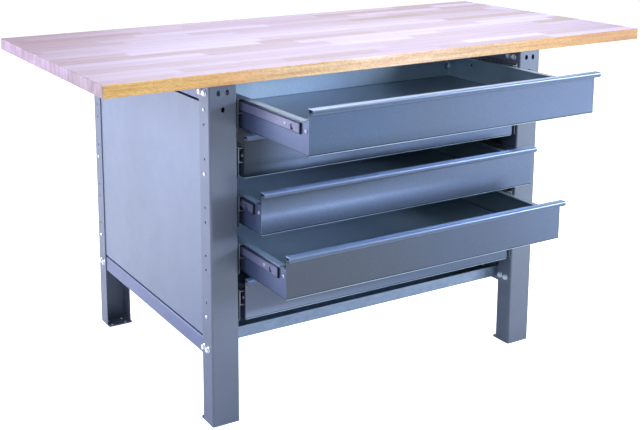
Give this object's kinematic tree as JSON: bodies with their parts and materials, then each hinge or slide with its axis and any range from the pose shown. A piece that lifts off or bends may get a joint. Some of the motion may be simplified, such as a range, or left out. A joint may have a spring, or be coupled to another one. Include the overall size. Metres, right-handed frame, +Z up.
{
  "type": "workbench with drawers",
  "caption": "Steel-framed workbench with a laminated wood top that overhangs one end further and a stack of full-width drawers on telescopic slides.",
  "frame": {"origin": "on the floor, at the middle of the four feet", "axes": "+X to the user's right along the bench, -Y to the front where the drawers open, +Z up"},
  "size_m": [1.6, 1.031, 0.86],
  "materials": {
    "beech": "satin lacquer on finger-jointed staves",
    "frame_paint": "satin grey-blue powder coat",
    "drawer_paint": "satin blue-grey metallic",
    "galvanised": "galvanised sheet",
    "slide_steel": "bright zinc-plated steel",
    "zinc": "white zinc plate"
  },
  "bodies": {
    "frame": {"worktop": "beech", "worktop_screws": "zinc", "leg_front_left": "frame_paint", "foot_plate_front_left": "frame_paint", "leg_front_right": "frame_paint", "foot_plate_front_right": "frame_paint", "leg_rear_left": "frame_paint", "foot_plate_rear_left": "frame_paint", "leg_rear_right": "frame_paint", "foot_plate_rear_right": "frame_paint", "bottom_end_rail_left": "frame_paint", "bottom_end_rail_right": "frame_paint", "top_end_rail_left": "frame_paint", "top_end_rail_right": "frame_paint", "frame_bolts": "zinc", "rail_nuts": "zinc", "side_panel_left": "frame_paint", "side_panel_right": "frame_paint", "panel_screws": "zinc", "back_panel": "frame_paint", "back_screws": "zinc", "bottom_pan": "galvanised", "pan_screws": "zinc", "slide_carriers_left": "frame_paint", "slide_carriers_right": "frame_paint", "carrier_screws": "zinc", "slide_screws": "zinc", "slide_outer_1": "slide_steel", "slide_outer_2": "slide_steel", "slide_outer_3": "slide_steel", "slide_outer_4": "slide_steel", "slide_outer_5": "slide_steel"},
    "drawer_1": {"tray_1": "drawer_paint", "drawer_front_1": "drawer_paint", "drawer_screws_1": "zinc", "slide_inner_1": "slide_steel"},
    "slide_middle_1": {"slide_middle_1": "slide_steel"},
    "drawer_2": {"tray_2": "drawer_paint", "drawer_front_2": "drawer_paint", "drawer_screws_2": "zinc", "slide_inner_2": "slide_steel"},
    "slide_middle_2": {"slide_middle_2": "slide_steel"},
    "drawer_3": {"tray_3": "drawer_paint", "drawer_front_3": "drawer_paint", "drawer_screws_3": "zinc", "slide_inner_3": "slide_steel"},
    "slide_middle_3": {"slide_middle_3": "slide_steel"},
    "drawer_4": {"tray_4": "drawer_paint", "drawer_front_4": "drawer_paint", "drawer_screws_4": "zinc", "slide_inner_4": "slide_steel"},
    "slide_middle_4": {"slide_middle_4": "slide_steel"},
    "drawer_5": {"tray_5": "drawer_paint", "drawer_front_5": "drawer_paint", "drawer_screws_5": "zinc", "slide_inner_5": "slide_steel"},
    "slide_middle_5": {"slide_middle_5": "slide_steel"}
  },
  "joints": [
    {"name": "drawer_1_slide", "type": "slide", "parent": "frame", "child": "drawer_1", "axis": [0, -1, 0], "range_m": [-0.281, 0.119]},
    {"name": "slide_middle_1_slide", "type": "slide", "parent": "frame", "child": "slide_middle_1", "axis": [0, -1, 0], "range_m": [-0.1405, 0.0595]},
    {"name": "drawer_2_slide", "type": "slide", "parent": "frame", "child": "drawer_2", "axis": [0, -1, 0], "range_m": [0, 0.4]},
    {"name": "slide_middle_2_slide", "type": "slide", "parent": "frame", "child": "slide_middle_2", "axis": [0, -1, 0], "range_m": [0, 0.2]},
    {"name": "drawer_3_slide", "type": "slide", "parent": "frame", "child": "drawer_3", "axis": [0, -1, 0], "range_m": [-0.079, 0.321]},
    {"name": "slide_middle_3_slide", "type": "slide", "parent": "frame", "child": "slide_middle_3", "axis": [0, -1, 0], "range_m": [-0.0395, 0.1605]},
    {"name": "drawer_4_slide", "type": "slide", "parent": "frame", "child": "drawer_4", "axis": [0, -1, 0], "range_m": [-0.189, 0.211]},
    {"name": "slide_middle_4_slide", "type": "slide", "parent": "frame", "child": "slide_middle_4", "axis": [0, -1, 0], "range_m": [-0.0945, 0.1055]},
    {"name": "drawer_5_slide", "type": "slide", "parent": "frame", "child": "drawer_5", "axis": [0, -1, 0], "range_m": [0, 0.4]},
    {"name": "slide_middle_5_slide", "type": "slide", "parent": "frame", "child": "slide_middle_5", "axis": [0, -1, 0], "range_m": [0, 0.2]}
  ],
  "couplings": [
    {"joint": "slide_middle_1_slide", "follows": "drawer_1_slide", "ratio": 0.5},
    {"joint": "slide_middle_2_slide", "follows": "drawer_2_slide", "ratio": 0.5},
    {"joint": "slide_middle_3_slide", "follows": "drawer_3_slide", "ratio": 0.5},
    {"joint": "slide_middle_4_slide", "follows": "drawer_4_slide", "ratio": 0.5},
    {"joint": "slide_middle_5_slide", "follows": "drawer_5_slide", "ratio": 0.5}
  ]
}
